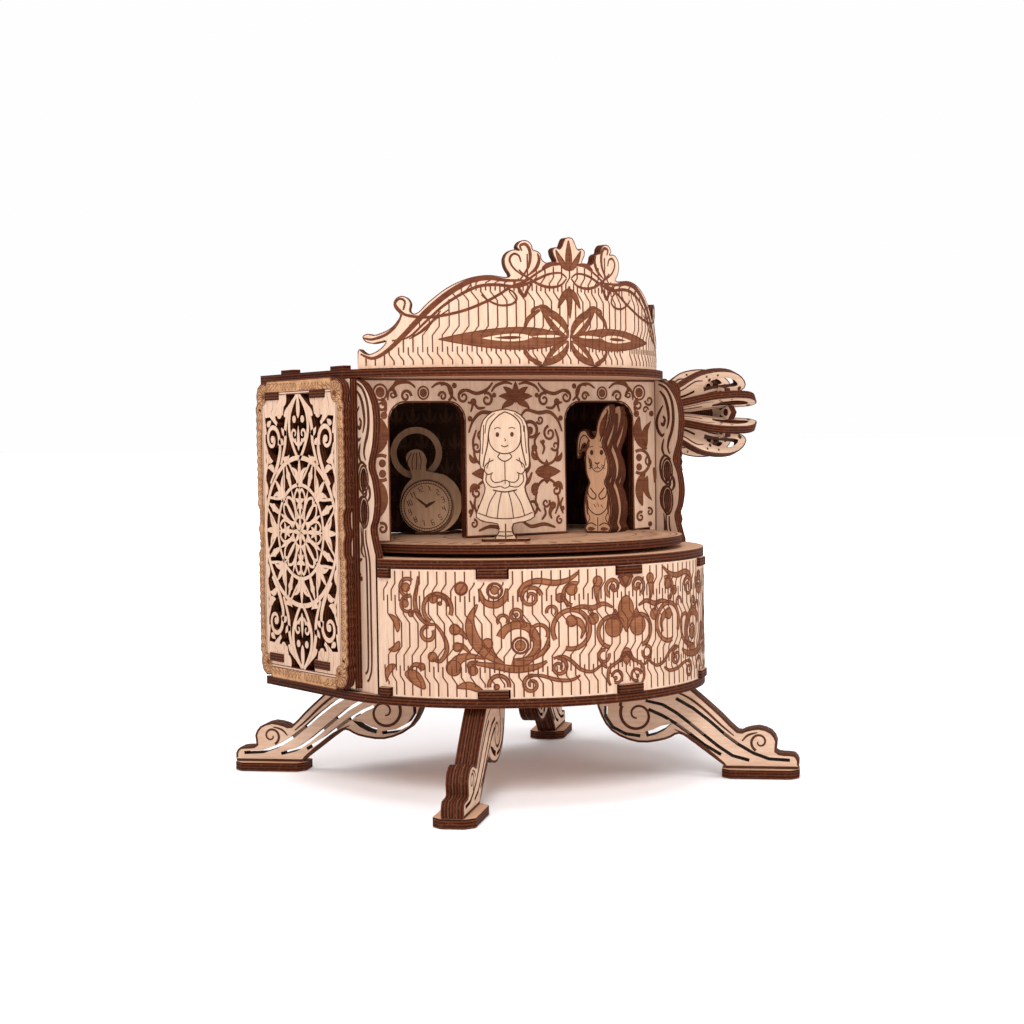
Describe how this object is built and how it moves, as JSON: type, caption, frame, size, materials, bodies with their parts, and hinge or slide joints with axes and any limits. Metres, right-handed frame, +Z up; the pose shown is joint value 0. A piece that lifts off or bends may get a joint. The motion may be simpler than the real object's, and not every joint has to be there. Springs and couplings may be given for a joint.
{
  "type": "wooden 3d jigsaw model",
  "caption": "Laser-cut plywood stage theatre on scroll legs; a side knob drives a gear train that turns a stage disc with small figures through two arches.",
  "frame": {"origin": "middle of the footprint, at the underside of the four feet", "axes": "+Z up, -Y the round stage front, +X towards the knob"},
  "size_m": [0.1968, 0.1536, 0.1918],
  "materials": {
    "ply_light": "sanded birch plywood with burnt laser-cut edges",
    "ply_dark": "birch plywood seen mostly on its burnt edge"
  },
  "bodies": {
    "case": {"arch_wall": "ply_light", "back_wall": "ply_light", "base_plate": "ply_dark", "crest": "ply_light", "drum_wall": "ply_light", "foot_back_left": "ply_dark", "foot_back_right": "ply_dark", "foot_front_left": "ply_dark", "foot_front_right": "ply_dark", "fretwork_left": "ply_light", "fretwork_right": "ply_light", "idler_pin": "ply_dark", "inner_ceiling": "ply_dark", "inner_floor": "ply_dark", "inner_plate_lower": "ply_dark", "inner_plate_upper": "ply_dark", "leg_back_left_core": "ply_light", "leg_back_left_left": "ply_light", "leg_back_left_right": "ply_light", "leg_back_right_core": "ply_light", "leg_back_right_left": "ply_light", "leg_back_right_right": "ply_light", "leg_front_left_core": "ply_light", "leg_front_left_left": "ply_light", "leg_front_left_right": "ply_light", "leg_front_right_core": "ply_light", "leg_front_right_left": "ply_light", "leg_front_right_right": "ply_light", "roof_plate": "ply_dark", "side_wall_left": "ply_light", "side_wall_right": "ply_light", "spacer_left": "ply_dark", "spacer_right": "ply_dark", "stage_floor": "ply_dark"},
    "turntable": {"turntable": "ply_light", "turntable_axle": "ply_dark", "peg_wheel": "ply_dark", "figure_child": "ply_light", "figure_rabbit": "ply_light", "figure_watch": "ply_light", "figure_watch_bow": "ply_light"},
    "cross_drive": {"cross_shaft": "ply_dark", "cross_pinion": "ply_light", "cross_gear": "ply_light"},
    "lay_drive": {"lay_shaft": "ply_dark", "lay_gear_inner": "ply_light", "lay_gear_outer": "ply_light"},
    "idler": {"idler_gear": "ply_light"},
    "knob": {"knob_shaft": "ply_dark", "knob_gear": "ply_light", "knob_ring": "ply_dark", "knob_petal_1": "ply_light", "knob_petal_2": "ply_light", "knob_petal_3": "ply_light", "knob_petal_4": "ply_light", "knob_petal_5": "ply_light", "knob_petal_6": "ply_light", "knob_petal_7": "ply_light", "knob_petal_8": "ply_light"}
  },
  "joints": [
    {"name": "turntable_spin", "type": "hinge", "parent": "case", "child": "turntable", "pos_m": [-0.0216, -0.0045, 0.0839], "axis": [0, 0, 1], "continuous": true},
    {"name": "cross_spin", "type": "hinge", "parent": "case", "child": "cross_drive", "pos_m": [-0.0216, -0.0045, 0.06], "axis": [1, 0, 0], "continuous": true},
    {"name": "lay_spin", "type": "hinge", "parent": "case", "child": "lay_drive", "pos_m": [0.0388, 0.0195, 0.06], "axis": [1, 0, 0], "continuous": true},
    {"name": "idler_spin", "type": "hinge", "parent": "case", "child": "idler", "pos_m": [0.047, 0.0248, 0.10165], "axis": [1, 0, 0], "continuous": true},
    {"name": "knob_spin", "type": "hinge", "parent": "case", "child": "knob", "pos_m": [0.0536, 0.0105, 0.1314], "axis": [1, 0, 0], "continuous": true}
  ],
  "couplings": [
    {"joint": "cross_spin", "follows": "turntable_spin", "ratio": -4},
    {"joint": "lay_spin", "follows": "turntable_spin", "ratio": 4},
    {"joint": "idler_spin", "follows": "turntable_spin", "ratio": -3},
    {"joint": "knob_spin", "follows": "turntable_spin", "ratio": 8}
  ]
}
